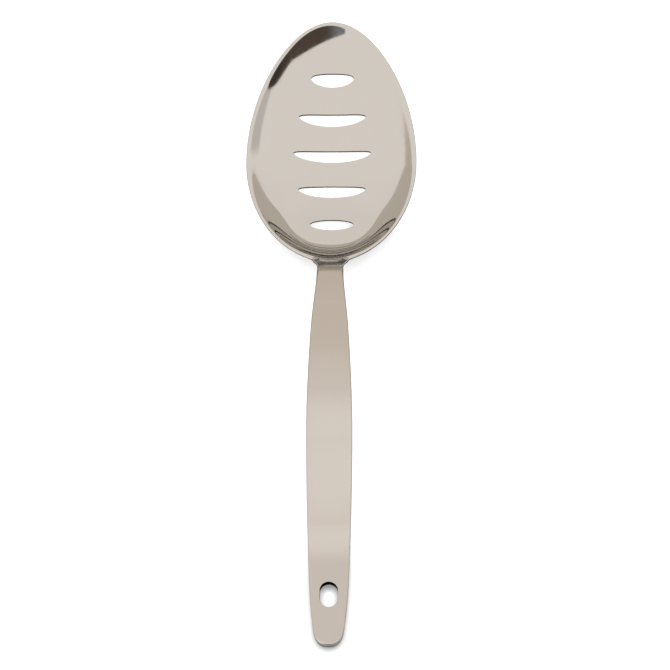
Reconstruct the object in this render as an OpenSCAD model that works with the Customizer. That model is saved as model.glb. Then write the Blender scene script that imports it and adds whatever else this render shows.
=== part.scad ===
// Slotted serving spoon: a pressed and pierced bowl welded to a flat, hollow handle.
// It lies on its back on the table, z = 0, with +Y towards the bowl's tip and +Z up.
// The origin is on the table, halfway along the spoon and midway between its sides.
// Inside the functions y is counted from the handle's end, and placed() moves it to the origin.

/* [Bowl] */
// Width of the bowl across its rim
bowl_w = 83.3; // [70:0.1:100]
// Distance from the bowl's widest place to its tip
bowl_tip_l = 77.5; // [65:0.1:100]
// Distance from the bowl's widest place to where its egg outline meets the neck
bowl_neck_l = 53.6; // [45:0.1:75]
// Length of the neck between the egg outline and the handle's mouth
neck_strip_l = 6.3; // [4:0.1:8]
// Height of the rim's plane above the table at the tip
rim_tip_h = 24.9; // [20:0.1:32]
// Height of the rim's plane above the table at the handle's mouth
rim_neck_h = 18.5; // [14:0.1:24]
// Thickness of the bowl's sheet
sheet_t = 1.1; // [0.9:0.05:1.3]
// Width of the level lip between the basin and the rim
lip_w = 0.9; // [0.5:0.1:1.5]
// Width of the lip towards the neck
lip_neck_w = 1.5; // [1:0.1:2.5]
// Height over which the basin's wall rolls over into the lip
lip_roll_h = 0.7; // [0.6:0.1:1.8]
// Height over which the lip bends up into the neck
lip_bend_h = 1; // [0.5:0.1:3]
// Share by which the tip of the egg outline is drawn in from an ellipse
draw_in_share = 0.12; // [0:0.005:0.2]
// Share of the basin's depth that rises late, as a steep wall, along the sides
side_wall_share = 0.47; // [0.3:0.01:0.7]
// Share of the basin's depth that rises late at the tip
tip_wall_share = 1; // [0.6:0.01:1]
// Share of the basin's depth that rises late towards the neck
neck_wall_share = 0.4; // [0.2:0.01:0.6]
// Power that sets how late the wall rises along the sides
side_wall_power = 2.45; // [2:0.05:3]
// Power that sets how late the wall rises at the tip
tip_wall_power = 3; // [2.5:0.05:3.5]
// Power that sets how late the wall rises towards the neck
neck_wall_power = 6.35; // [4:0.05:7]
// Power that sets how far round from the sides their wall turns into the tip's
tip_turn_power = 0.7; // [0.5:0.05:1.5]
// Power that sets how far round from the sides their wall turns into the neck's
neck_turn_power = 2.2; // [0.5:0.05:3]
// Power added to the wall's halfway between the sides and the neck, where it rises latest
neck_corner_power = 2.5; // [0:0.1:4]
// Softness of the corner between the rim and the neck
neck_fillet = 4; // [1:0.1:6]
// Width that the neck gains on each side from the handle's mouth to the egg outline
neck_flare_w = 2; // [1:0.1:5]

/* [Slots] */
// Width of each slot across its middle
slot_w = 6.3; // [4.5:0.1:8]
// Distance between neighbouring slots
slot_pitch = 19.9; // [15:0.1:22]
// Distance of the middle slot from the bowl's widest place, towards the tip
slot_ahead = 13.1; // [8:0.1:20]
// Length of the middle slot
slot_long_l = 38.7; // [25:0.1:46]
// Length of the slots beside the middle one
slot_mid_l = 33.5; // [20:0.1:40]
// Length of the first slot and the last slot
slot_short_l = 21.4; // [14:0.1:26]

/* [Handle] */
// Length of the handle from its end to its mouth at the bowl
handle_l = 182.6; // [160:0.1:220]
// Thickness of the handle, measured straight up
handle_t = 4.2; // [3.6:0.1:6]
// Length of the level stretch that rests on the table
level_l = 32; // [31.5:0.5:50]
// Height of the handle's top at the tail of the grip
tail_h = 9.2; // [6:0.1:14]
// Height of the handle's top at the middle of the grip
grip_h = 18.8; // [12:0.1:26]
// Height of the handle's top where the grip begins to narrow
swell_h = 24.8; // [16:0.1:32]
// Height of the handle's top at the shoulder
shoulder_h = 30.7; // [20:0.1:38]
// Height of the handle's top at the throat
throat_h = 30.7; // [20:0.1:38]
// Height of the handle's top at its mouth
mouth_h = 25.2; // [19:0.1:32]
// Share of its length by which the neck climbs at the mouth
mouth_climb_share = 0.78; // [0.3:0.01:0.9]
// Length of the round end
end_round_l = 10; // [6:0.1:12]
// Width towards the round end
end_w = 14.4; // [13:0.1:17]
// Width beside the hanging hole
eye_w = 17.6; // [16:0.1:20]
// Width at the tail of the grip
tail_w = 20.4; // [18:0.1:24]
// Width at the middle of the grip
grip_w = 21.7; // [19:0.1:26]
// Width where the grip begins to narrow towards the bowl
swell_w = 21; // [18:0.1:25]
// Width at the shoulder
shoulder_w = 17.4; // [15:0.1:20]
// Width at the throat
throat_w = 13.3; // [12.5:0.1:16]
// Width at the mouth, where the handle is narrowest
neck_w = 12.5; // [11.6:0.1:14]
// Radius of the rounded edges along both shells
edge_r = 1; // [0.6:0.05:1.4]
// Thickness of the sheet of both shells
shell_t = 0.9; // [0.7:0.05:1]

/* [Hanging hole] */
// Distance of the hole's middle from the handle's end
hole_y = 24.3; // [20:0.1:30]
// Width of the hole
hole_w = 8.3; // [6:0.1:10]
// Length of the hole
hole_l = 12.1; // [10.5:0.1:16]
// Wall of the sleeve that lines the hole
sleeve_wall = 0.8; // [0.6:0.05:1.2]

/* [Tang] */
// Width of the tang that joins the bowl to the handle
tang_w = 9.6; // [7:0.1:9.8]
// Length of the tang inside the handle
tang_in_l = 38; // [20:1:60]
// Length of the tang under the bowl's neck
tang_out_l = 6; // [3:0.5:8]

/* [Fits] */
// Gap left at each weld between two pieces
weld_gap = 0.05; // [0.03:0.01:0.1]

/* [Hidden] */

// How far a cutting shape runs past what it cuts
overrun = 2;
// Step over which slopes are measured
probe = 0.05;
// Thickness of the tang's blunt nose
tang_nose_t = 0.5;

// Rows of points on each side of the bowl's widest place, and columns from its middle to each side
neck_rows = 20;
tip_rows = 21;
side_columns = 13;
// Points round half a slot, along the handle's round end and along its straight sides
slot_steps = 18;
end_steps = 10;
side_steps = 26;
// Steps round the handle's edge, stations along the tang's bar and steps along its nose
edge_steps = 4;
tang_steps = 10;
nose_steps = 6;
// Facets of the hanging hole's ends
hole_facets = 64;
// Bluntness of the handle's round end, where 2 is an ellipse
end_power = 2.8;

// Places of the handle's named widths, from its end to its mouth
handle_place_shares = [0.04, 0.131, 0.315, 0.521, 0.651, 0.826, 0.942, 1];
handle_places = [for (share = handle_place_shares) share * handle_l];
handle_widths = [end_w, eye_w, tail_w, grip_w, swell_w, shoulder_w, throat_w, neck_w];

// Places of its named heights: the end of the level stretch, then from the tail to the mouth
height_places = concat([level_l], [for (i = [2 : 7]) handle_places[i]]);
handle_heights = [handle_t, tail_h, grip_h, swell_h, shoulder_h, throat_h, mouth_h];

egg_start_y = handle_l + neck_strip_l;
wide_y = egg_start_y + bowl_neck_l;
tip_y = wide_y + bowl_tip_l;
rim_slope = (rim_tip_h - rim_neck_h) / (tip_y - handle_l);

// Blends of two values that round off the corner where they cross
function soft_min(a, b, round) = (a + b - sqrt((a - b) ^ 2 + round ^ 2)) / 2;
function soft_max(a, b, round) = (a + b + sqrt((a - b) ^ 2 + round ^ 2)) / 2;
// Smooth step from 0 to 1
function eased(u) = let (c = min(max(u, 0), 1)) c * c * (3 - 2 * c);
// Cubic from value a with slope sa to value b with slope sb, over the length l, at the share u of it
function cubic(a, sa, b, sb, l, u) =
    a * (2 * u ^ 3 - 3 * u ^ 2 + 1) + b * (3 * u ^ 2 - 2 * u ^ 3)
    + sa * l * (u ^ 3 - 2 * u ^ 2 + u) + sb * l * (u ^ 3 - u ^ 2);

// Bowl's outline: half its width at y, with the fillets into the neck
function egg_half_w(y) =
    let (t = (y - wide_y) / (y > wide_y ? bowl_tip_l : bowl_neck_l))
    bowl_w / 2 * sqrt(max(1 - t ^ 2, 0)) * (1 - draw_in_at(y) * t ^ 2);
function draw_in_at(y) = y > wide_y ? draw_in_share : 0;
function neck_fade(y) = 1 - eased((y - egg_start_y) / bowl_neck_l);
function neck_half_w(y) = neck_w / 2 + neck_flare_w * eased((y - handle_l) / neck_strip_l);
function fillet_at(y) = neck_fillet * neck_fade(y) * eased((y - handle_l) / neck_strip_l);
function rim_half_w(y) =
    y >= wide_y ? egg_half_w(y) : soft_max(egg_half_w(y), neck_half_w(y) * neck_fade(y), fillet_at(y));

// Bowl's upper surface: a basin that rolls over into the lip, which bends up into the neck
function rim_plane_z(y) = rim_neck_h + rim_slope * (y - handle_l);
function lip_z(y) =
    soft_max(rim_plane_z(y), mouth_h - mouth_climb_share * (y - handle_l), lip_bend_h);
function basin_rise(x, y) =
    let (
        beyond = y > wide_y,
        t = (y - wide_y) / (beyond ? bowl_tip_l - lip_w : bowl_neck_l - lip_neck_w),
        across = x / ((bowl_w / 2 - lip_w) * (1 - draw_in_at(y) * min(t ^ 2, 1))),
        spread = t ^ 2 + across ^ 2,
        turn = spread == 0 ? 0 : (t ^ 2 / spread) ^ (beyond ? tip_turn_power : neck_turn_power),
        share = side_wall_share + turn * ((beyond ? tip_wall_share : neck_wall_share) - side_wall_share),
        corner_power = beyond ? 0 : 4 * neck_corner_power * turn * (1 - turn),
        power = side_wall_power + turn * ((beyond ? tip_wall_power : neck_wall_power) - side_wall_power)
            + corner_power
    )
    (1 - share) * spread + share * spread ^ (power / 2);
// The roll-over reaches the floor as a slight sink, which this takes back so that the floor meets the table
floor_sink = sheet_t - soft_min(sheet_t, rim_plane_z(wide_y), lip_roll_h);
function bowl_z(x, y) =
    let (basin = sheet_t + floor_sink + (rim_plane_z(y) - sheet_t) * basin_rise(x, y))
    soft_min(basin, lip_z(y), lip_roll_h);
function bowl_normal(x, y) =
    let (
        slope_x = (bowl_z(x + probe, y) - bowl_z(x - probe, y)) / (2 * probe),
        slope_y = (bowl_z(x, y + probe) - bowl_z(x, y - probe)) / (2 * probe)
    )
    [-slope_x, -slope_y, 1] / norm([slope_x, slope_y, 1]);
function bowl_top(x, y) = [x, y, bowl_z(x, y)];
function bowl_under(x, y) = bowl_top(x, y) - sheet_t * bowl_normal(x, y);

overall_l = bowl_under(0, tip_y).y;

// Curve through values at places: each slope but the first and last is the mean across its neighbours,
// and the curve runs straight on before the first place and after the last
function mean_slopes(places, values, first, last) =
    [
        for (i = [0 : len(places) - 1])
            i == 0 ? first
            : i == len(places) - 1 ? last
            : (values[i + 1] - values[i - 1]) / (places[i + 1] - places[i - 1])
    ];
function stretch_at(places, y, i = 0) =
    i == len(places) - 2 || y < places[i + 1] ? i : stretch_at(places, y, i + 1);
function curve_at(places, values, slopes, y) =
    let (
        i = stretch_at(places, y),
        l = places[i + 1] - places[i],
        u = (y - places[i]) / l
    )
    u < 0 ? values[i] + slopes[i] * u * l
    : u > 1 ? values[i + 1] + slopes[i + 1] * (u - 1) * l
    : cubic(values[i], slopes[i], values[i + 1], slopes[i + 1], l, u);

// Handle's outline: its width at y
end_slope = (eye_w - end_w) / (handle_places[1] - handle_places[0]);
width_slopes = mean_slopes(handle_places, handle_widths, end_slope, 0);
function side_w(y) = curve_at(handle_places, handle_widths, width_slopes, y);

// Points of the handle's right-hand outline, from the middle of its end to past its mouth
end_points = [
    for (i = [0 : end_steps])
        let (
            turn = 90 * i / end_steps,
            y = end_round_l * (1 - cos(turn) ^ (2 / end_power))
        )
        [side_w(y) / 2 * sin(turn) ^ (2 / end_power), y]
];
side_points = [
    for (i = [1 : side_steps])
        let (y = end_round_l + (handle_l + overrun - end_round_l) * i / side_steps)
        [side_w(y) / 2, y]
];
outline = concat(end_points, side_points);
function outline_normal(i) =
    let (step = outline[min(i + 1, len(outline) - 1)] - outline[max(i - 1, 0)])
    i == 0 ? [0, -1] : [step.y, -step.x] / norm(step);
outline_normals = [for (i = [0 : len(outline) - 1]) outline_normal(i)];

// Handle's side view: top surface, underside and the seam between the shells
height_slopes = mean_slopes(height_places, handle_heights, 0, -mouth_climb_share);
function handle_top_z(y) = curve_at(height_places, handle_heights, height_slopes, y);
function handle_under_z(y) = handle_top_z(y) - handle_t;
function seam_z(y) = handle_top_z(y) - handle_t / 2;

module placed() {
    translate([0, -overall_l / 2, 0]) children();
}

// Bowl

module bowl_sheet() {
    // Rows run from the handle's mouth to the tip, where both surfaces close in one point each.
    row_ys = concat(
        [for (i = [neck_rows : -1 : 1]) wide_y - (wide_y - handle_l) * sin(90 * i / neck_rows)],
        [for (i = [0 : tip_rows - 1]) wide_y + bowl_tip_l * sin(90 * i / tip_rows)]
    );
    column_shares = [for (i = [-side_columns : side_columns]) sin(90 * i / side_columns)];
    rows = len(row_ys);
    columns = len(column_shares);
    top_points = [for (y = row_ys, share = column_shares) bowl_top(share * rim_half_w(y), y)];
    under_points = [for (y = row_ys, share = column_shares) bowl_under(share * rim_half_w(y), y)];
    points = concat(top_points, [bowl_top(0, tip_y)], under_points, [bowl_under(0, tip_y)]);
    tip = rows * columns;
    under = tip + 1;
    under_tip = under + tip;
    last_row = (rows - 1) * columns;
    surfaces = [
        for (j = [0 : rows - 2], i = [0 : columns - 2])
            let (a = j * columns + i, b = a + 1, c = b + columns, d = a + columns)
            each [
                [a, d, c],
                [a, c, b],
                [under + a, under + b, under + c],
                [under + a, under + c, under + d]
            ]
    ];
    tip_fans = [
        for (i = [0 : columns - 2])
            let (a = last_row + i)
            each [[a, tip, a + 1], [under + a, under + a + 1, under_tip]]
    ];
    rims = [
        for (j = [0 : rows - 1])
            let (
                left = j * columns,
                right = left + columns - 1,
                left_next = j == rows - 1 ? tip : left + columns,
                right_next = j == rows - 1 ? tip : right + columns
            )
            each [
                [under + right, right, right_next],
                [under + right, right_next, under + right_next],
                [left, under + left, under + left_next],
                [left, under + left_next, left_next]
            ]
    ];
    mouth = [
        for (i = [0 : columns - 2])
            each [[under + i, i, i + 1], [under + i, i + 1, under + i + 1]]
    ];
    polyhedron(points, concat(surfaces, tip_fans, rims, mouth));
}

module slot(l) {
    ellipse = [
        for (i = [0 : 2 * slot_steps - 1])
            let (turn = 180 * i / slot_steps)
            [l / 2 * cos(turn), slot_w / 2 * sin(turn)]
    ];
    translate([0, 0, -overrun]) linear_extrude(rim_tip_h + 2 * overrun) polygon(ellipse);
}

module bowl() {
    slot_lengths = [slot_short_l, slot_mid_l, slot_long_l, slot_mid_l, slot_short_l];
    middle = (len(slot_lengths) - 1) / 2;
    color("#cfc8bf")
        placed()
            difference() {
                bowl_sheet();
                for (i = [0 : len(slot_lengths) - 1])
                    translate([0, wide_y + slot_ahead + (i - middle) * slot_pitch, 0])
                        slot(slot_lengths[i]);
                mouth_cut(handle_l + weld_gap, -1);
            }
}

// Block that cuts a piece off square at y, past the mouth (way 1) or before it (way -1)
module mouth_cut(y, way) {
    length = 2 * overrun;
    translate([-neck_w, way > 0 ? y : y - length, 0]) cube([2 * neck_w, length, 2 * mouth_h]);
}

// Tang: a bar bent to the handle's curve, with its nose welded under the bowl's neck

// How far the sheet's underside lies straight below its top at the mouth, where the neck climbs
sheet_drop = sheet_t * sqrt(1 + mouth_climb_share ^ 2);
function tang_top_z(y) = handle_top_z(y) - sheet_drop - weld_gap;
function tang_under_z(y) = handle_under_z(y) + shell_t + weld_gap;

module tang() {
    tang_start = handle_l - tang_in_l;
    bar_stations = [for (i = [0 : tang_steps]) tang_start + tang_in_l * i / tang_steps];
    nose_stations = [for (i = [nose_steps : -1 : 1]) handle_l + tang_out_l * i / nose_steps];
    nose_top = [for (y = nose_stations) [bowl_under(0, y).y, bowl_under(0, y).z - weld_gap]];
    nose_end = nose_top[0];
    side_view = concat(
        [nose_end - [0, tang_nose_t]],
        nose_top,
        [for (i = [tang_steps : -1 : 0]) [bar_stations[i], tang_top_z(bar_stations[i])]],
        [for (y = bar_stations) [y, tang_under_z(y)]]
    );
    color("#a8a29a")
        placed()
            intersection() {
                rotate([90, 0, 90]) linear_extrude(tang_w, center = true) polygon(side_view);
                linear_extrude(2 * mouth_h) tang_plan(tang_start, nose_end.x);
            }
}

// Tang from above: straight sides, with its two ends drawn in
module tang_plan(start, nose) {
    corner = tang_w / 4;
    half = tang_w / 2;
    right = [
        [half - corner, start - overrun],
        [half - corner, start],
        [half, start + corner],
        [half, nose - corner],
        [half - corner, nose],
        [half - corner, nose + overrun]
    ];
    left = [for (i = [len(right) - 1 : -1 : 0]) [-right[i].x, right[i].y]];
    polygon(concat(right, left));
}

// Handle: two pressed shells that meet at a seam along the middle of their sides

// Ring of points at one height of a shell, set in from the outline by inset.
// Its height above the seam is rise_share of half the thickness, plus lift.
function shell_ring(side, inset, rise_share, lift) =
    let (
        right = [
            for (i = [0 : len(outline) - 1])
                let (p = outline[i] - inset * outline_normals[i])
                [p.x, p.y, seam_z(p.y) + side * (rise_share * handle_t / 2 + lift)]
        ],
        left = [for (i = [len(right) - 1 : -1 : 1]) [-right[i].x, right[i].y, right[i].z]]
    )
    concat(right, left);

// Solid through a list of rings, closed by rungs between the left and right points of both end rings
module ring_loft(rings) {
    count = len(rings[0]);
    half = (count + 1) / 2;
    last = (len(rings) - 1) * count;
    walls = [
        for (r = [0 : len(rings) - 2], i = [0 : count - 1])
            let (a = r * count + i, b = r * count + (i + 1) % count)
            each [[a, a + count, b + count], [a, b + count, b]]
    ];
    first_end = [[0, 1, count - 1]];
    last_end = [[last, last + count - 1, last + 1]];
    first_rungs = [for (i = [1 : half - 2]) [i, i + 1, count - i - 1, count - i]];
    last_rungs = [for (face = first_rungs) [for (i = [3 : -1 : 0]) last + face[i]]];
    polyhedron(
        [for (ring = rings) each ring],
        concat(walls, first_end, last_end, first_rungs, last_rungs)
    );
}

// One shell, before its mouth and hole are cut: side is 1 for the top shell and -1 for the bottom
module shell_blank(side) {
    inner = [
        shell_ring(side, shell_t, 1, -shell_t),
        shell_ring(side, shell_t, 0, weld_gap / 2)
    ];
    outer = [
        shell_ring(side, 0, 0, weld_gap / 2),
        for (i = [0 : edge_steps])
            let (turn = 90 * i / edge_steps)
            shell_ring(side, edge_r * (1 - cos(turn)), 1, edge_r * (sin(turn) - 1))
    ];
    rings = concat(inner, outer);
    ring_loft(side > 0 ? rings : [for (i = [len(rings) - 1 : -1 : 0]) rings[i]]);
}

module shell(side) {
    placed()
        difference() {
            shell_blank(side);
            mouth_cut(handle_l, 1);
            translate([0, hole_y, -overrun])
                eye(hole_w / 2 + sleeve_wall + weld_gap, handle_t + 2 * overrun);
        }
}

module handle_top_shell() {
    color("#bfb7ac") shell(1);
}

module handle_bottom_shell() {
    color("#b5ada2") shell(-1);
}

// Hanging hole: a slot with round ends, lined by a sleeve that is flush with both shells

module eye(r, h) {
    reach = (hole_l - hole_w) / 2;
    for (end = [-1, 1])
        translate([0, end * reach, 0]) cylinder(h = h, r = r, $fn = hole_facets);
    translate([-r, -reach, 0]) cube([2 * r, 2 * reach, h]);
}

module hanging_hole_sleeve() {
    color("#b0a89e")
        placed()
            translate([0, hole_y, 0])
                difference() {
                    eye(hole_w / 2 + sleeve_wall, handle_t);
                    translate([0, 0, -overrun]) eye(hole_w / 2, handle_t + 2 * overrun);
                }
}

bowl();
tang();
handle_top_shell();
handle_bottom_shell();
hanging_hole_sleeve();
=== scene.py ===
"""Slotted serving spoon: the visual model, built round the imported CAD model.

Sizes are in millimetres until placed() turns a point into metres, except where a comment says
otherwise. Inside the shape functions y is counted from the handle's end, as in the part's source,
and +Y runs towards the bowl's tip.
"""

from math import cos, pi, radians, sin, sqrt

import bmesh
import bpy
from mathutils import Matrix, Vector
from mathutils.geometry import delaunay_2d_cdt
from mathutils.kdtree import KDTree


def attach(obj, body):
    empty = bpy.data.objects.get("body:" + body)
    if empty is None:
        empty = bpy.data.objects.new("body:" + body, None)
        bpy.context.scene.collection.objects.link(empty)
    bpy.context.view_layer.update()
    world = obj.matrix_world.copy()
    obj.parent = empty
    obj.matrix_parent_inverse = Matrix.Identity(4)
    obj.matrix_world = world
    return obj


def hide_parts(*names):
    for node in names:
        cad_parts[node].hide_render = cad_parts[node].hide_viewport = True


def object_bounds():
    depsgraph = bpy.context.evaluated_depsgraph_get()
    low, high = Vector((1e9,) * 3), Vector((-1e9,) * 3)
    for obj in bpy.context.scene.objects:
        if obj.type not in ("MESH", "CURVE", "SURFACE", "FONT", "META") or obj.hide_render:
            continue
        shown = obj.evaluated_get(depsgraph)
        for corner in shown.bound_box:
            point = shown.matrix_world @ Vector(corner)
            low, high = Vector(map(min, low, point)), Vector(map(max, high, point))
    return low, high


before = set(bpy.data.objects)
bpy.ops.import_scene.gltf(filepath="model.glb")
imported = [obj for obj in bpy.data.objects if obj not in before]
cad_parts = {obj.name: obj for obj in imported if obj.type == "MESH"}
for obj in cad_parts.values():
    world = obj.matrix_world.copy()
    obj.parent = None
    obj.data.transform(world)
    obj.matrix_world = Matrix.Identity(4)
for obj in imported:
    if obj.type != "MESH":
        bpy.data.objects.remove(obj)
cad_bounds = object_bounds()

MM = 0.001
OVERALL_L = (cad_bounds[1][1] - cad_bounds[0][1]) / MM

# Bowl
BOWL_W = 83.3
BOWL_TIP_L = 77.5
BOWL_NECK_L = 53.6
NECK_STRIP_L = 6.3
RIM_TIP_H = 24.9
RIM_NECK_H = 18.5
SHEET_T = 1.1
LIP_W = 0.9
LIP_NECK_W = 1.5
LIP_ROLL_H = 0.7
LIP_BEND_H = 1
DRAW_IN_SHARE = 0.12
SIDE_WALL_SHARE = 0.47
TIP_WALL_SHARE = 1
NECK_WALL_SHARE = 0.4
SIDE_WALL_POWER = 2.45
TIP_WALL_POWER = 3
NECK_WALL_POWER = 6.35
TIP_TURN_POWER = 0.7
NECK_TURN_POWER = 2.2
NECK_CORNER_POWER = 2.5
NECK_FILLET = 4
NECK_FLARE_W = 2
RIM_EDGE_R = 0.5

# Slots
SLOT_W = 6.3
SLOT_PITCH = 19.9
SLOT_AHEAD = 13.1
SLOT_LENGTHS = [21.4, 33.5, 38.7, 33.5, 21.4]
MIDDLE_SLOT = 2
SLOT_EDGE_R = 0.15

# Handle
HANDLE_L = 182.6
HANDLE_T = 4.2
LEVEL_L = 32
MOUTH_H = 25.2
MOUTH_CLIMB_SHARE = 0.78
END_ROUND_L = 10
END_POWER = 2.8
HANDLE_PLACE_SHARES = [0.04, 0.131, 0.315, 0.521, 0.651, 0.826, 0.942, 1]
HANDLE_PLACES = [share * HANDLE_L for share in HANDLE_PLACE_SHARES]
HANDLE_WIDTHS = [14.4, 17.6, 20.4, 21.7, 21, 17.4, 13.3, 12.5]
HEIGHT_PLACES = [LEVEL_L] + HANDLE_PLACES[2:]
HANDLE_HEIGHTS = [HANDLE_T, 9.2, 18.8, 24.8, 30.7, 30.7, MOUTH_H]
EDGE_R = 1.0
SHELL_T = 0.9
WELD_GAP = 0.05

# Hanging hole
HOLE_Y = 24.3
HOLE_W = 8.3
HOLE_L = 12.1
SLEEVE_WALL = 0.8
HOLE_EDGE_R = 0.3

# Spacing of the mesh's points
RIM_STEPS = 1500
RIM_SPACING = 0.5
MOUTH_MARGIN = 0.3
NECK_ZONE_L = 13
SLOT_POINTS = 96
ARC_STEPS = 3
EDGE_STEPS = 8
END_STEPS = 24
END_MARGIN = 0.5
SIDE_STEPS = 150
HANDLE_GRID = 1.6
HOLE_STEPS = 24
# Share of a grid's step that its points stay clear of an outline
CLEAR_SHARE = 0.6
# Zones of the bowl's grid: nearest and farthest distance from the rim, and the grid's step
ZONES = [(0.2, 2.0, 0.36), (2.0, 5.0, 0.72), (5.0, 60.0, 1.44)]

# Steels: colours as linear red, green and blue, and finishes as a roughness, its spread and the
# scratches' depth
WHITE = (1, 1, 1)
BLACK = (0, 0, 0)
POLISHED_COLOR = (0.63, 0.60, 0.56)
POLISHED_FINISH = (0.06, 0.02, 0.004)
SATIN_COLOR = (0.562, 0.513, 0.465)
SATIN_FINISH = (0.24, 0.03, 0.008)
PLAIN_COLOR = (0.5, 0.48, 0.46)
PLAIN_FINISH = (0.4, 0.05, 0.02)

# Mottling, tint and scratches of every steel, made from noise
MOTTLING_SCALE = 260.0
MOTTLING_DETAIL = 3.0
MOTTLING_SPAN = (0.3, 0.7)
TINT_SCALE = 45.0
TINT_DIP = 0.985
SCRATCH_TURNS = (20, 75, 140)
SCRATCH_SCALES = (60, 2200, 60)
SCRATCH_SPAN = (0.66, 0.74)
SCRATCH_STRENGTH = 0.3

# Walls that the press has cut, found by how little their normals point up or down: their dark colour and
# lost reflection are painted shade, and their extra roughness is the cut face's own dullness
CUT_SHADE_COLOR = (0.024, 0.016, 0.011)
CUT_SHADE_SPAN = (0.5, 0.35)
CUT_ROUGHER = 0.25

# Handle's painted shade, darker and warmer towards the neck, its painted highlight on the end's rounded
# edge, and its smoother mouth: the places are in metres from the spoon's middle, and the highlight's spans
# are parts of the surface's normal
NECK_SHADE_COLOR = (0.505, 0.452, 0.392)
NECK_SHADE_SPAN = (-0.085, -0.015)
MOUTH_SPAN = (0.0, 0.02)
MOUTH_SMOOTHER = 0.1
END_HIGHLIGHT_COLOR = (0.72, 0.69, 0.65)
END_HIGHLIGHT_SPAN_Y = (-0.15, -0.35)
END_HIGHLIGHT_SPAN_Z = (0.6, 0.8)

# Floor, its contact shadows and the painted shade that mirror images see, with places in metres from the
# spoon's middle
FLOOR_REACH = 3000
FLOOR_COLOR = (0.9, 0.93, 0.965)
FLOOR_MIRROR_SHADE_COLOR = (0.3, 0.31, 0.322)
FLOOR_GLOW = 0.7
HANDLE_SPAN = (0.02, -0.02)
BEFORE_SLOTS_SPAN = (0.06, 0.052)
SHADOW_SAMPLES = 16
TIGHT_REACH = 4
TIGHT_LEAN = (0, 0.7, 0.7)
TIGHT_DEPTH = 0.95
WIDE_REACH = 25
WIDE_POWER = 4.0
WIDE_DEPTH = 2.0

# Studio: colours, and the values between which they blend, worked out from a direction
STUDIO_COLOR = (1.023, 0.985, 0.952)
AHEAD_COLOR = (0.97, 0.93, 0.885)
AHEAD_SPAN = (0.35, 0.8)
PANEL_COLOR = (0.72, 0.69, 0.67)
PANEL_SPAN_X = (0.9, 0.93)
PANEL_SPAN_Z = (0.14, 0.12)
DARK_COLOR = (0.1, 0.078, 0.062)
DARK_PLANE = (-0.11, 0.74, 0.67)
DARK_UPPER_EDGE = (-0.075, -0.095)
DARK_LOW_SPAN = (0.3, 0.15)
DARK_LOW_SHIFT = 0.095
DARK_LEFT_EDGE = (-0.34, -0.28)
DARKEST_COLOR = (0.055, 0.044, 0.038)
DARKEST_SPAN = (0.75, 0.88)
BLUISH_COLOR = (0.23, 0.25, 0.29)
BLUISH_SPAN = (0.15, -0.2)

# Camera, with its angles in degrees
CAMERA_TARGET = (2.2186, 152.393, 12)
CAMERA_DISTANCE = 1217.716
CAMERA_ELEVATION = 64.9953
CAMERA_AZIMUTH = 2.8452
CAMERA_ROLL = 0.4116
CAMERA_LENS = 136.565
CAMERA_SENSOR_W = 36
CAMERA_NEAREST = 10
CAMERA_FARTHEST = 20000

# Places and sizes worked out from the values above
EGG_START_Y = HANDLE_L + NECK_STRIP_L
NECK_ZONE_Y = EGG_START_Y + NECK_ZONE_L
WIDE_Y = EGG_START_Y + BOWL_NECK_L
TIP_Y = WIDE_Y + BOWL_TIP_L
RIM_SLOPE = (RIM_TIP_H - RIM_NECK_H) / (TIP_Y - HANDLE_L)
SLOT_YS = [WIDE_Y + SLOT_AHEAD + (i - MIDDLE_SLOT) * SLOT_PITCH for i in range(len(SLOT_LENGTHS))]
HOLE_REACH = (HOLE_L - HOLE_W) / 2
SLEEVE_R = HOLE_W / 2 + SLEEVE_WALL
UP = Vector((0, 0, 1))


# Shape functions


def soft_min(a, b, rounding):
    return (a + b - sqrt((a - b) ** 2 + rounding ** 2)) / 2


def soft_max(a, b, rounding):
    return (a + b + sqrt((a - b) ** 2 + rounding ** 2)) / 2


def eased(u):
    c = min(max(u, 0), 1)
    return c * c * (3 - 2 * c)


def cubic(a, slope_a, b, slope_b, length, u):
    """Cubic from value a to value b over a length, at the share u of it."""
    return (
        a * (2 * u ** 3 - 3 * u ** 2 + 1)
        + b * (3 * u ** 2 - 2 * u ** 3)
        + slope_a * length * (u ** 3 - 2 * u ** 2 + u)
        + slope_b * length * (u ** 3 - u ** 2)
    )


def egg_half_w(y):
    if y > WIDE_Y:
        t = (y - WIDE_Y) / BOWL_TIP_L
        draw_in = DRAW_IN_SHARE
    else:
        t = (y - WIDE_Y) / BOWL_NECK_L
        draw_in = 0
    return BOWL_W / 2 * sqrt(max(1 - t * t, 0)) * (1 - draw_in * t * t)


def rim_half_w(y):
    """Half the bowl's width at y, with the flare and the fillets into the neck."""
    if y >= WIDE_Y:
        return egg_half_w(y)
    fade = 1 - eased((y - EGG_START_Y) / BOWL_NECK_L)
    past_mouth = eased((y - HANDLE_L) / NECK_STRIP_L)
    neck_half_w = HANDLE_WIDTHS[-1] / 2 + NECK_FLARE_W * past_mouth
    return soft_max(egg_half_w(y), neck_half_w * fade, NECK_FILLET * fade * past_mouth)


def rim_plane_z(y):
    return RIM_NECK_H + RIM_SLOPE * (y - HANDLE_L)


def lip_z(y):
    """Height of the lip, which bends up from the rim's plane into the neck."""
    neck = MOUTH_H - MOUTH_CLIMB_SHARE * (y - HANDLE_L)
    return soft_max(rim_plane_z(y), neck, LIP_BEND_H)


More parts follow.
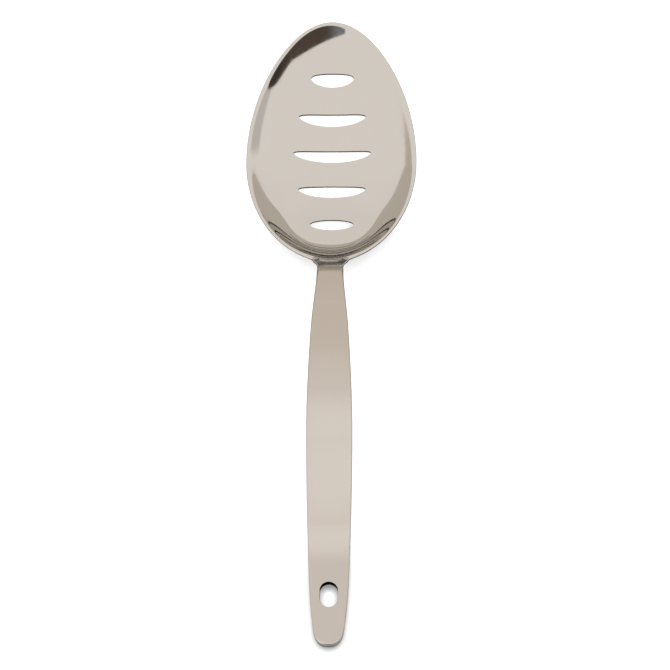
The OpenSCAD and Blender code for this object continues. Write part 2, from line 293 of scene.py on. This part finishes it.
def basin_rise(x, y):
    """Share of the rim's height that the basin reaches, before the wall rolls over into the lip."""
    if y > WIDE_Y:
        t = (y - WIDE_Y) / (BOWL_TIP_L - LIP_W)
        half_w = (BOWL_W / 2 - LIP_W) * (1 - DRAW_IN_SHARE * min(t * t, 1))
        end_share, end_power, turn_power = TIP_WALL_SHARE, TIP_WALL_POWER, TIP_TURN_POWER
        corner_power = 0
    else:
        t = (y - WIDE_Y) / (BOWL_NECK_L - LIP_NECK_W)
        half_w = BOWL_W / 2 - LIP_W
        end_share, end_power, turn_power = NECK_WALL_SHARE, NECK_WALL_POWER, NECK_TURN_POWER
        corner_power = NECK_CORNER_POWER
    spread = t * t + (x / half_w) ** 2
    turn = (t * t / spread) ** turn_power if spread > 0 else 0
    share = SIDE_WALL_SHARE + turn * (end_share - SIDE_WALL_SHARE)
    power = SIDE_WALL_POWER + turn * (end_power - SIDE_WALL_POWER) + 4 * corner_power * turn * (1 - turn)
    return (1 - share) * spread + share * spread ** (power / 2)


FLOOR_SINK = SHEET_T - soft_min(SHEET_T, rim_plane_z(WIDE_Y), LIP_ROLL_H)


def bowl_z(x, y):
    basin = SHEET_T + FLOOR_SINK + (rim_plane_z(y) - SHEET_T) * basin_rise(x, y)
    return soft_min(basin, lip_z(y), LIP_ROLL_H)


def bowl_normal(x, y, probe=0.02):
    slope_x = (bowl_z(x + probe, y) - bowl_z(x - probe, y)) / (2 * probe)
    slope_y = (bowl_z(x, y + probe) - bowl_z(x, y - probe)) / (2 * probe)
    return Vector((-slope_x, -slope_y, 1)).normalized()


def bowl_top(x, y):
    return Vector((x, y, bowl_z(x, y))), bowl_normal(x, y)


def bowl_under(x, y):
    """Point of the underside: the sheet is cut upright at the mouth and has an even thickness elsewhere."""
    from_mouth = 1 - eased((y - HANDLE_L) / NECK_STRIP_L)
    y += from_mouth * SHEET_T * MOUTH_CLIMB_SHARE / sqrt(1 + MOUTH_CLIMB_SHARE ** 2)
    normal = bowl_normal(x, y, probe=0.1)
    return Vector((x, y, bowl_z(x, y))) - SHEET_T * normal, -normal


def mean_slopes(places, values, first, last):
    """Slope at each place: the mean across its neighbours, with both ends given."""
    slopes = [first]
    for i in range(1, len(places) - 1):
        slopes.append((values[i + 1] - values[i - 1]) / (places[i + 1] - places[i - 1]))
    return slopes + [last]


def curve_at(places, values, slopes, y):
    """Smooth curve through values at places, which runs straight on past both ends."""
    i = 0
    while i < len(places) - 2 and y >= places[i + 1]:
        i += 1
    length = places[i + 1] - places[i]
    u = (y - places[i]) / length
    if u < 0:
        return values[i] + slopes[i] * u * length
    if u > 1:
        return values[i + 1] + slopes[i + 1] * (u - 1) * length
    return cubic(values[i], slopes[i], values[i + 1], slopes[i + 1], length, u)


END_SLOPE = (HANDLE_WIDTHS[1] - HANDLE_WIDTHS[0]) / (HANDLE_PLACES[1] - HANDLE_PLACES[0])
WIDTH_SLOPES = mean_slopes(HANDLE_PLACES, HANDLE_WIDTHS, END_SLOPE, 0)
HEIGHT_SLOPES = mean_slopes(HEIGHT_PLACES, HANDLE_HEIGHTS, 0, -MOUTH_CLIMB_SHARE)


def side_w(y):
    return curve_at(HANDLE_PLACES, HANDLE_WIDTHS, WIDTH_SLOPES, y)


def face_z(side, y):
    """Height of the handle's top face (side 1) or underside (side -1)."""
    top = curve_at(HEIGHT_PLACES, HANDLE_HEIGHTS, HEIGHT_SLOPES, y)
    return top if side > 0 else top - HANDLE_T


def face_normal(side, y, probe=0.1):
    slope = (face_z(side, y + probe) - face_z(side, y - probe)) / (2 * probe)
    return side * Vector((0, -slope, 1)).normalized()


# Mesh building


def placed(point):
    return Vector((point[0], point[1] - OVERALL_L / 2, point[2])) * MM


class Skin:
    """A closed surface: points with the normals they are shaded by, and the faces between them."""

    def __init__(self):
        self.points = []
        self.normals = []
        self.faces = []
        self.flat_faces = set()

    def loop(self, samples):
        """Add points, given with their normals, and return their numbers."""
        start = len(self.points)
        for point, normal in samples:
            self.points.append(placed(point))
            self.normals.append(normal)
        return list(range(start, len(self.points)))

    def band(self, first, second, closed=True):
        """Quads between two loops with as many points."""
        count = len(first)
        for i in range(count if closed else count - 1):
            j = (i + 1) % count
            self.faces.append((first[i], first[j], second[j], second[i]))

    def flat_face(self, numbers):
        self.flat_faces.add(len(self.faces))
        self.faces.append(tuple(numbers))

    def fill(self, loops, inner_plan, surface):
        """Fill the plan inside the first closed loop and outside the others.

        Each loop is a list of (plan point, number), and every loop runs anticlockwise.
        """
        plan = [Vector(spot[:2]) for loop in loops for spot, _ in loop]
        numbers = [number for loop in loops for _, number in loop]
        outlines = []
        start = 0
        for loop in loops:
            outlines.append(list(range(start, start + len(loop))))
            start += len(loop)
        numbers += self.loop([surface(x, y) for x, y in inner_plan])
        plan += [Vector(spot) for spot in inner_plan]
        triangles_inside = 1
        closest = 1e-6
        result = delaunay_2d_cdt(plan, [], outlines, triangles_inside, closest, True)
        _, _, triangles, point_sources, _, face_sources = result
        for triangle, sources in zip(triangles, face_sources):
            if sources == [0]:
                self.faces.append(tuple(numbers[point_sources[corner][0]] for corner in triangle))

    def build(self, name, material):
        mesh = bpy.data.meshes.new(name)
        mesh.from_pydata(self.points, [], self.faces)
        work = bmesh.new()
        work.from_mesh(mesh)
        bmesh.ops.recalc_face_normals(work, faces=work.faces)
        work.to_mesh(mesh)
        work.free()
        for polygon in mesh.polygons:
            polygon.use_smooth = True
        corner_normals = [None] * len(mesh.loops)
        for polygon in mesh.polygons:
            flat = polygon.index in self.flat_faces
            for corner in polygon.loop_indices:
                vertex = mesh.loops[corner].vertex_index
                corner_normals[corner] = polygon.normal if flat else self.normals[vertex]
        mesh.normals_split_custom_set(corner_normals)
        mesh.materials.append(material)
        piece = bpy.data.objects.new(name, mesh)
        bpy.context.scene.collection.objects.link(piece)
        return piece


def evenly_spaced(line, spacing):
    """Points along a polyline at about one spacing, with both of its ends."""
    lengths = [0]
    for a, b in zip(line, line[1:]):
        lengths.append(lengths[-1] + (b - a).length)
    count = max(round(lengths[-1] / spacing), 1)
    spots = []
    at = 0
    for i in range(count + 1):
        wanted = lengths[-1] * i / count
        while at < len(line) - 2 and lengths[at + 1] < wanted:
            at += 1
        share = (wanted - lengths[at]) / (lengths[at + 1] - lengths[at])
        spots.append(line[at].lerp(line[at + 1], min(share, 1)))
    return spots


def grid_points(x_reach, y_low, y_high, step, wanted):
    """Points of a triangular grid, symmetric about x = 0, for which wanted(x, y) is true."""
    points = []
    row_step = step * sqrt(3) / 2
    columns = int(x_reach / step) + 1
    for row in range(int((y_high - y_low) / row_step) + 1):
        y = y_low + row * row_step
        shift = step / 2 if row % 2 else 0
        for column in range(-columns, columns + 1):
            x = column * step + shift
            if wanted(x, y):
                points.append((x, y))
    return points


def rounded_edge(skin, contacts, radius, toward_under):
    """Loops of a rounded edge: contacts are (surface point, surface normal, outward wall direction)."""
    loops = []
    steps = range(ARC_STEPS + 1)
    for step in reversed(steps) if toward_under else steps:
        turn = pi / 2 * step / ARC_STEPS
        samples = []
        for point, normal, wall in contacts:
            level = (wall - wall.dot(normal) * normal).normalized()
            across = normal * cos(turn) + level * sin(turn)
            samples.append((point - radius * normal + radius * across, across))
        loops.append(skin.loop(samples))
    return loops


# Bowl


def rim_line():
    """Bowl's right-hand outline from the mouth to the tip, in plan."""
    line = []
    for i in range(-RIM_STEPS, RIM_STEPS + 1):
        length = WIDE_Y - HANDLE_L if i < 0 else BOWL_TIP_L
        y = WIDE_Y + length * sin(pi / 2 * i / RIM_STEPS)
        line.append(Vector((rim_half_w(y), y)))
    return evenly_spaced(line, RIM_SPACING)


def slot_wall(length, turn):
    """Point on a slot's wall in plan, from its middle, and the direction into the slot."""
    spot = Vector((length / 2 * cos(turn), SLOT_W / 2 * sin(turn)))
    inward = -Vector((spot.x / (length / 2) ** 2, spot.y / (SLOT_W / 2) ** 2)).normalized()
    return spot, inward


def slot_contacts(index, depth, surface):
    """Where a slot's rounded edge leaves the surface that lies depth below the bowl's top.

    The surface is followed along its normals, so the plan point is stepped until the edge's
    rounding ends on the slot's wall.
    """
    tries = 4
    contacts = []
    plan = []
    for i in range(SLOT_POINTS):
        spot, inward = slot_wall(SLOT_LENGTHS[index], 2 * pi * i / SLOT_POINTS)
        edge = spot + Vector((0, SLOT_YS[index])) - SLOT_EDGE_R * inward
        at = edge.copy()
        for _ in range(tries):
            normal = bowl_normal(at.x, at.y)
            at = edge + depth * Vector((normal.x, normal.y))
        point, normal = surface(at.x, at.y)
        contacts.append((point, normal, inward.to_3d()))
        plan.append(at)
    return contacts, plan


def bowl_inner_points(rim_plan):
    """Points inside the bowl's plan: closer together near the rim and over the neck."""
    tree = KDTree(len(rim_plan))
    for number, spot in enumerate(rim_plan):
        tree.insert(spot.to_3d(), number)
    tree.balance()

    def clear_of_slots(x, y, margin):
        for slot_y, length in zip(SLOT_YS, SLOT_LENGTHS):
            half_l = length / 2 + margin
            half_w = SLOT_W / 2 + margin
            if (x / half_l) ** 2 + ((y - slot_y) / half_w) ** 2 < 1:
                return False
        return True

    points = []
    for near, far, step in ZONES:

        def wanted(x, y):
            if abs(x) > rim_half_w(y) - near:
                return False
            inset = tree.find((x, y, 0))[2]
            in_neck = y < NECK_ZONE_Y
            if inset < near or (in_neck and step > ZONES[0][2]):
                return False
            return (inset < far or in_neck) and clear_of_slots(x, y, step * CLEAR_SHARE)

        points += grid_points(BOWL_W / 2, HANDLE_L + MOUTH_MARGIN, TIP_Y, step, wanted)
    return points


def make_bowl(material):
    skin = Skin()
    right = rim_line()
    line = right + [Vector((-spot.x, spot.y)) for spot in reversed(right[:-1])]
    top_contacts = []
    under_contacts = []
    rim_plan = []
    for i, spot in enumerate(line):
        along = line[min(i + 1, len(line) - 1)] - line[max(i - 1, 0)]
        outward = Vector((along.y, -along.x)).normalized()
        if i in (0, len(line) - 1):
            outward = Vector((1 if i == 0 else -1, 0))
        at = spot - RIM_EDGE_R * outward
        top_contacts.append((*bowl_top(at.x, at.y), outward.to_3d()))
        under_contacts.append((*bowl_under(at.x, at.y), outward.to_3d()))
        rim_plan.append(at)
    top_rim = rounded_edge(skin, top_contacts, RIM_EDGE_R, False)
    under_rim = rounded_edge(skin, under_contacts, RIM_EDGE_R, True)
    rim_loops = top_rim + under_rim
    for first, second in zip(rim_loops, rim_loops[1:]):
        skin.band(first, second, closed=False)

    # The mouth is a plain cut across the sheet, where the bowl meets the handle
    half = rim_plan[0].x
    count = round(2 * half / RIM_SPACING)
    mouth_plan = [Vector((-half + 2 * half * i / count, HANDLE_L)) for i in range(1, count)]
    top_mouth = skin.loop([bowl_top(*spot) for spot in mouth_plan])
    under_mouth = skin.loop([bowl_under(*spot) for spot in mouth_plan])
    left_end = [loop[-1] for loop in rim_loops]
    right_end = [loop[0] for loop in rim_loops]
    skin.flat_face(left_end[::-1] + top_mouth + right_end + under_mouth[::-1])

    slots = []
    for index in range(len(SLOT_YS)):
        top, top_plan = slot_contacts(index, SLOT_EDGE_R, bowl_top)
        under, under_plan = slot_contacts(index, SHEET_T - SLOT_EDGE_R, bowl_under)
        loops = rounded_edge(skin, top, SLOT_EDGE_R, False)
        loops += rounded_edge(skin, under, SLOT_EDGE_R, True)
        for first, second in zip(loops, loops[1:]):
            skin.band(first, second)
        slots.append((list(zip(top_plan, loops[0])), list(zip(under_plan, loops[-1]))))

    inner = bowl_inner_points(rim_plan)
    top_outline = list(zip(rim_plan + mouth_plan, top_rim[0] + top_mouth))
    under_outline = list(zip(rim_plan + mouth_plan, under_rim[-1] + under_mouth))
    skin.fill([top_outline] + [slot[0] for slot in slots], inner, bowl_top)
    skin.fill([under_outline] + [slot[1] for slot in slots], inner, bowl_under)
    return skin.build("bowl_sheet", material)


# Handle


def handle_outline():
    """Handle's outline in plan with its outward normals, from the left of the mouth to the right."""
    right = []
    for i in range(END_STEPS + 1):
        turn = pi / 2 * i / END_STEPS
        y = END_ROUND_L * (1 - cos(turn) ** (2 / END_POWER))
        right.append(Vector((side_w(y) / 2 * sin(turn) ** (2 / END_POWER), y)))
    for i in range(1, SIDE_STEPS + 1):
        y = END_ROUND_L + (HANDLE_L - END_ROUND_L) * i / SIDE_STEPS
        right.append(Vector((side_w(y) / 2, y)))
    line = [Vector((-spot.x, spot.y)) for spot in reversed(right[1:])] + right
    normals = []
    for i in range(len(line)):
        along = line[min(i + 1, len(line) - 1)] - line[max(i - 1, 0)]
        normals.append(Vector((along.y, -along.x)).normalized())
    normals[0] = Vector((-1, 0))
    normals[-1] = Vector((1, 0))
    return list(zip(line, normals))


OUTLINE = handle_outline()


def eye_loop(radius):
    """Hanging hole's outline in plan with its outward normals."""
    spots = []
    for end in (1, -1):
        for i in range(HOLE_STEPS + 1):
            turn = pi * i / HOLE_STEPS + (0 if end > 0 else pi)
            normal = Vector((cos(turn), sin(turn)))
            spots.append((Vector((0, HOLE_Y + end * HOLE_REACH)) + radius * normal, normal))
    return spots


def make_shell(side, name, material):
    skin = Skin()

    def ring(inset, turn, z_of):
        """Open loop along the outline: turn leans its normals from the wall up to the face."""
        samples = []
        for spot, outward in OUTLINE:
            at = spot - inset * outward
            lean = outward.to_3d() * cos(turn) + face_normal(side, at.y) * sin(turn)
            samples.append((Vector((at.x, at.y, z_of(at.y))), lean.normalized()))
        return skin.loop(samples)

    def seam(y):
        middle = (face_z(1, y) + face_z(-1, y)) / 2
        return middle + side * WELD_GAP / 2

    def inner_face(y):
        return face_z(side, y) - side * SHELL_T

    outer = [ring(0, 0, seam)]
    for i in range(EDGE_STEPS + 1):
        turn = pi / 2 * i / EDGE_STEPS
        drop = EDGE_R * (1 - sin(turn))
        outer.append(ring(EDGE_R * (1 - cos(turn)), turn, lambda y: face_z(side, y) - side * drop))
    inner = [ring(SHELL_T, pi, seam), ring(SHELL_T, pi, inner_face)]
    for loops in (outer, inner):
        for first, second in zip(loops, loops[1:]):
            skin.band(first, second, closed=False)
    skin.band(outer[0], inner[0], closed=False)

    def outside(x, y):
        return Vector((x, y, face_z(side, y))), face_normal(side, y)

    def inside(x, y):
        return Vector((x, y, inner_face(y))), -face_normal(side, y)

    eye = [spot for spot, _ in eye_loop(SLEEVE_R)]
    mouths = []
    eyes = []
    for inset, last, surface in ((EDGE_R, outer[-1], outside), (SHELL_T, inner[-1], inside)):
        plan = [spot - inset * outward for spot, outward in OUTLINE]
        half = plan[-1].x
        count = round(2 * half / HANDLE_GRID)
        mouth_plan = [Vector((half - 2 * half * i / count, HANDLE_L)) for i in range(1, count)]
        mouth = skin.loop([surface(*spot) for spot in mouth_plan])
        eye_numbers = skin.loop([surface(*spot) for spot in eye])

        def wanted(x, y):
            margin = inset + HANDLE_GRID * CLEAR_SHARE
            if y < margin or y > HANDLE_L - HANDLE_GRID / 2 or abs(x) > side_w(y) / 2 - margin:
                return False
            if y < END_ROUND_L:
                narrowing = (1 - (1 - y / END_ROUND_L) ** END_POWER) ** (1 / END_POWER)
                if abs(x) > side_w(y) / 2 * narrowing - margin - END_MARGIN:
                    return False
            past = max(abs(y - HOLE_Y) - HOLE_REACH, 0)
            return sqrt(x * x + past * past) > SLEEVE_R + HANDLE_GRID / 2

        grid = grid_points(max(HANDLE_WIDTHS) / 2, 0, HANDLE_L, HANDLE_GRID, wanted)
        skin.fill([list(zip(plan + mouth_plan, last + mouth)), list(zip(eye, eye_numbers))], grid, surface)
        mouths.append(mouth)
        eyes.append(eye_numbers)
    skin.band(eyes[0], eyes[1])
    outer_profile = [loop[-1] for loop in outer] + mouths[0] + [loop[0] for loop in reversed(outer)]
    inner_profile = [loop[-1] for loop in inner] + mouths[1] + [loop[0] for loop in reversed(inner)]
    skin.flat_face(outer_profile + inner_profile[::-1])
    return skin.build(name, material)


def make_sleeve(material):
    """Tube that lines the hanging hole, with rounded edges at both of its ends."""
    skin = Skin()

    def loop_at(radius, z, turn):
        samples = []
        for spot, outward in eye_loop(radius):
            lean = outward.to_3d() * cos(turn) + UP * sin(turn)
            samples.append((Vector((spot.x, spot.y, z)), lean))
        return skin.loop(samples)

    edge_r = HOLE_W / 2 + HOLE_EDGE_R
    loops = []
    for side in (1, -1):
        face = HANDLE_T if side > 0 else 0
        half_loops = [loop_at(SLEEVE_R, face, side * pi / 2)]
        for i in range(ARC_STEPS + 1):
            turn = pi / 2 * (1 + i / ARC_STEPS)
            radius = edge_r + HOLE_EDGE_R * cos(turn)
            z = face - side * HOLE_EDGE_R * (1 - sin(turn))
            half_loops.append(loop_at(radius, z, side * turn))
        loops += half_loops if side > 0 else half_loops[::-1]
    for first, second in zip(loops, loops[1:] + loops[:1]):
        skin.band(first, second)
    return skin.build("hanging_hole_lining", material)


# Materials


class Nodes:
    """Short calls for building a node tree."""

    def __init__(self, tree):
        self.tree = tree
        tree.nodes.clear()

    def node(self, kind, inputs=None, **settings):
        made = self.tree.nodes.new(kind)
        for key, value in settings.items():
            setattr(made, key, value)
        for socket, value in (inputs or {}).items():
            if isinstance(value, bpy.types.NodeSocket):
                self.tree.links.new(value, made.inputs[socket])
            else:
                made.inputs[socket].default_value = value
        return made

    def math(self, operation, *values):
        return self.node("ShaderNodeMath", dict(enumerate(values)), operation=operation).outputs[0]

    def parts(self, vector):
        """X, Y and Z of a vector."""
        return self.node("ShaderNodeSeparateXYZ", {0: vector}).outputs

    def noise(self, vector, scale, detail=2.0):
        inputs = {"Vector": vector, "Scale": scale, "Detail": detail}
        return self.node("ShaderNodeTexNoise", inputs).outputs["Fac"]

    def ramp(self, value, span):
        """Smooth step from 0 at the span's first value to 1 at its second."""
        inputs = {"Value": value, "From Min": span[0], "From Max": span[1]}
        return self.node("ShaderNodeMapRange", inputs, interpolation_type="SMOOTHSTEP").outputs[0]

    def mix(self, share, first, second):
        """Blend of two colours, each a socket or red, green and blue."""
        made = self.node("ShaderNodeMix", {0: share}, data_type="RGBA")
        for socket, color in ((6, first), (7, second)):
            if isinstance(color, bpy.types.NodeSocket):
                self.tree.links.new(color, made.inputs[socket])
            else:
                made.inputs[socket].default_value = (*color, 1)
        return made.outputs[2]


def handle_change(nodes, place, tint, sheen):
    """Satin with painted shade, darker and warmer towards the neck, polished at the mouth, and with a
    painted highlight on the end's rounded edge.
    """
    along = nodes.parts(place)["Y"]
    facing = nodes.parts(nodes.node("ShaderNodeNewGeometry").outputs["Normal"])
    # Painted highlight: a brighter tint on the rounded edge that faces the handle's end and up
    toward_end = nodes.ramp(facing["Y"], END_HIGHLIGHT_SPAN_Y)
    end_highlight = nodes.math("MULTIPLY", toward_end, nodes.ramp(facing["Z"], END_HIGHLIGHT_SPAN_Z))
    # Painted shade: the tint grows darker and warmer towards the neck, standing in for the bowl's
    # reflection and shade
    tint = nodes.mix(nodes.ramp(along, NECK_SHADE_SPAN), tint, NECK_SHADE_COLOR)
    tint = nodes.mix(end_highlight, tint, END_HIGHLIGHT_COLOR)
    return tint, nodes.math("MULTIPLY_ADD", nodes.ramp(along, MOUTH_SPAN), -MOUTH_SMOOTHER, sheen)


def scratch_lines(nodes, place):
    """Short, thin lines in three directions: 1 on a line and 0 off it."""
    scratches = None
    for turn in SCRATCH_TURNS:
        turned = nodes.node("ShaderNodeVectorRotate", {"Vector": place, "Angle": radians(turn)})
        stretched = nodes.node(
            "ShaderNodeVectorMath", {0: turned.outputs[0], 1: SCRATCH_SCALES}, operation="MULTIPLY"
        )
        line = nodes.ramp(nodes.noise(stretched.outputs[0], 1.0), SCRATCH_SPAN)
        scratches = line if scratches is None else nodes.math("MAXIMUM", scratches, line)
    return scratches


def steel(name, color, finish, cut_shade_color=None, change=None):
    """Metal with fine mottling in its sheen and faint, short scratches.

    The finish is a roughness, its spread and the scratches' depth. With a cut_shade_color, the upright
    walls that the press has cut are dull and carry painted shade: dark, with their reflection taken away. A
    change makes the tint and the sheen follow the place; the handle's change paints shade and a highlight
    there.
    """
    roughness, spread, scratch_depth = finish
    material = bpy.data.materials.new(name)
    material.use_nodes = True
    nodes = Nodes(material.node_tree)
    place = nodes.node("ShaderNodeTexCoord").outputs["Object"]
    sheen = nodes.node(
        "ShaderNodeMapRange",
        {
            "Value": nodes.noise(place, MOTTLING_SCALE, MOTTLING_DETAIL),
            "From Min": MOTTLING_SPAN[0],
            "From Max": MOTTLING_SPAN[1],
            "To Min": roughness - spread,
            "To Max": roughness + spread,
        },
    ).outputs[0]
    bump = nodes.node(
        "ShaderNodeBump",
        {
            "Height": scratch_lines(nodes, place),
            "Strength": SCRATCH_STRENGTH,
            "Distance": scratch_depth * MM,
        },
    )
    darker = [TINT_DIP * part for part in color]
    tint = nodes.mix(nodes.noise(place, TINT_SCALE), darker, color)
    glancing = (*WHITE, 1)
    if change:
        tint, sheen = change(nodes, place, tint, sheen)
    # Painted shade: upright cut walls get a dark colour and a black specular tint, as in their own shade;
    # the added roughness is the cut face's dullness
    if cut_shade_color:
        rise = nodes.parts(nodes.node("ShaderNodeNewGeometry").outputs["Normal"])["Z"]
        cut = nodes.ramp(nodes.math("ABSOLUTE", rise), CUT_SHADE_SPAN)
        tint = nodes.mix(cut, tint, cut_shade_color)
        sheen = nodes.math("MULTIPLY_ADD", cut, CUT_ROUGHER, sheen)
        glancing = nodes.mix(cut, WHITE, BLACK)
    shader = nodes.node(
        "ShaderNodeBsdfPrincipled",
        {
            "Base Color": tint,
            "Metallic": 1.0,
            "Roughness": sheen,
            "Specular Tint": glancing,
            "Normal": bump.outputs[0],
        },
    )
    nodes.node("ShaderNodeOutputMaterial", {"Surface": shader.outputs[0]})
    return material


# Setting: floor, light and camera


def hidden_light(nodes, reach, lean=None):
    """Share of the light on a spot of the floor that is hidden by what stands within reach."""
    inputs = {"Distance": reach * MM}
    if lean:
        inputs["Normal"] = nodes.node("ShaderNodeCombineXYZ", dict(enumerate(lean))).outputs[0]
    reached = nodes.node("ShaderNodeAmbientOcclusion", inputs, samples=SHADOW_SAMPLES).outputs["AO"]
    return nodes.math("SUBTRACT", 1.0, reached)


def make_floor():
    """Pale floor with a tight contact shadow round the handle's end and a wider one beside the neck.

    Mirror images show it darker than the camera does, a painted shade like the spoon's own shade on it,
    except beside the handle, so that the slots look dark in the bowl's polished wall.
    """
    material = bpy.data.materials.new("pale_floor")
    material.use_nodes = True
    nodes = Nodes(material.node_tree)
    along = nodes.parts(nodes.node("ShaderNodeTexCoord").outputs["Object"])["Y"]
    beside_handle = nodes.ramp(along, HANDLE_SPAN)
    beside_neck = nodes.math("SUBTRACT", nodes.ramp(along, BEFORE_SLOTS_SPAN), beside_handle)
    tight = nodes.math("MULTIPLY", hidden_light(nodes, TIGHT_REACH, TIGHT_LEAN), TIGHT_DEPTH)
    wide = nodes.math("POWER", hidden_light(nodes, WIDE_REACH), WIDE_POWER)
    wide = nodes.math("MULTIPLY", wide, WIDE_DEPTH)
    tight_loss = nodes.math("MULTIPLY", beside_handle, tight)
    wide_loss = nodes.math("MULTIPLY", beside_neck, wide)
    light = nodes.math("SUBTRACT", nodes.math("SUBTRACT", 1.0, tight_loss), wide_loss)
    seen = nodes.node("ShaderNodeLightPath").outputs["Is Camera Ray"]
    # Painted shade: rays other than the camera's see a darker floor, as under the spoon, except beside the
    # handle
    pale = nodes.mix(nodes.math("MAXIMUM", seen, beside_handle), FLOOR_MIRROR_SHADE_COLOR, FLOOR_COLOR)
    diffuse = nodes.node("ShaderNodeBsdfDiffuse", {"Color": nodes.mix(light, BLACK, pale)})
    strength = nodes.math("MULTIPLY", nodes.math("MULTIPLY", light, seen), FLOOR_GLOW)
    glow = nodes.node("ShaderNodeEmission", {"Color": (*WHITE, 1), "Strength": strength})
    both = nodes.node("ShaderNodeAddShader", {0: diffuse.outputs[0], 1: glow.outputs[0]})
    nodes.node("ShaderNodeOutputMaterial", {"Surface": both.outputs[0]})
    reach = FLOOR_REACH * MM
    corners = [(x * reach, y * reach, 0) for x, y in ((-1, -1), (1, -1), (1, 1), (-1, 1))]
    mesh = bpy.data.meshes.new("floor")
    mesh.from_pydata(corners, [], [(0, 1, 2, 3)])
    mesh.materials.append(material)
    floor = bpy.data.objects.new("floor", mesh)
    bpy.context.scene.collection.objects.link(floor)


def make_studio():
    """Even pale surroundings, with a low grey panel at the right and one dark region.

    The dark region lies low behind the camera and runs round to the right. Near the horizon it
    reaches further forward.
    """
    world = bpy.data.worlds.new("studio")
    world.use_nodes = True
    bpy.context.scene.world = world
    nodes = Nodes(world.node_tree)
    direction = nodes.node("ShaderNodeTexCoord").outputs["Generated"]
    parts = nodes.parts(direction)
    ahead = nodes.ramp(parts["Y"], AHEAD_SPAN)
    pale = nodes.mix(ahead, STUDIO_COLOR, AHEAD_COLOR)
    beside = nodes.ramp(parts["X"], PANEL_SPAN_X)
    panel = nodes.math("MULTIPLY", beside, nodes.ramp(parts["Z"], PANEL_SPAN_Z))

    lean = nodes.node(
        "ShaderNodeVectorMath", {0: direction, 1: DARK_PLANE}, operation="DOT_PRODUCT"
    ).outputs["Value"]
    low = nodes.ramp(parts["Z"], DARK_LOW_SPAN)
    behind = nodes.ramp(nodes.math("MULTIPLY_ADD", low, -DARK_LOW_SHIFT, lean), DARK_UPPER_EDGE)
    sideways = nodes.math("DIVIDE", parts["X"], nodes.math("ADD", parts["Z"], 1.0))
    dark = nodes.math("MULTIPLY", behind, nodes.ramp(sideways, DARK_LEFT_EDGE))
    brown = nodes.mix(nodes.ramp(sideways, DARKEST_SPAN), DARK_COLOR, DARKEST_COLOR)
    dark_color = nodes.mix(nodes.ramp(sideways, BLUISH_SPAN), brown, BLUISH_COLOR)

    color = nodes.mix(dark, nodes.mix(panel, pale, PANEL_COLOR), dark_color)
    background = nodes.node("ShaderNodeBackground", {"Color": color, "Strength": 1.0})
    nodes.node("ShaderNodeOutputWorld", {"Surface": background.outputs[0]})


def make_camera():
    elevation = radians(CAMERA_ELEVATION)
    azimuth = radians(CAMERA_AZIMUTH)
    roll = radians(CAMERA_ROLL)
    forward = Vector(
        (-sin(azimuth) * cos(elevation), cos(azimuth) * cos(elevation), -sin(elevation))
    )
    level = forward.cross(Vector((0, 1, 0))).normalized()
    upright = level.cross(forward)
    right = level * cos(roll) + upright * sin(roll)
    up = upright * cos(roll) - level * sin(roll)
    data = bpy.data.cameras.new("camera")
    data.sensor_width = CAMERA_SENSOR_W
    data.lens = CAMERA_LENS
    data.clip_start = CAMERA_NEAREST * MM
    data.clip_end = CAMERA_FARTHEST * MM
    camera = bpy.data.objects.new("camera", data)
    axes = Matrix((right, up, -forward)).transposed()
    place = placed(Vector(CAMERA_TARGET) - CAMERA_DISTANCE * forward)
    camera.matrix_world = Matrix.Translation(place) @ axes.to_4x4()
    bpy.context.scene.collection.objects.link(camera)
    bpy.context.scene.camera = camera


polished = steel("polished_steel", POLISHED_COLOR, POLISHED_FINISH, cut_shade_color=CUT_SHADE_COLOR)
satin = steel("satin_steel", SATIN_COLOR, SATIN_FINISH, change=handle_change)
lining = steel("satin_steel_lining", SATIN_COLOR, SATIN_FINISH, cut_shade_color=CUT_SHADE_COLOR)
plain = steel("plain_steel", PLAIN_COLOR, PLAIN_FINISH)

pieces = [
    (make_bowl(polished), "bowl", "polished_steel"),
    (make_shell(1, "handle_upper", satin), "handle_top_shell", "satin_steel"),
    (make_shell(-1, "handle_lower", satin), "handle_bottom_shell", "satin_steel"),
    (make_sleeve(lining), "hanging_hole_sleeve", "satin_steel"),
]
for piece, node, slot in pieces:
    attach(piece, "root")
    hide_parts(node)

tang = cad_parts["tang"]
tang.data.materials.clear()
tang.data.materials.append(plain)

make_floor()
make_studio()
make_camera()
bpy.context.scene.view_settings.view_transform = "Standard"
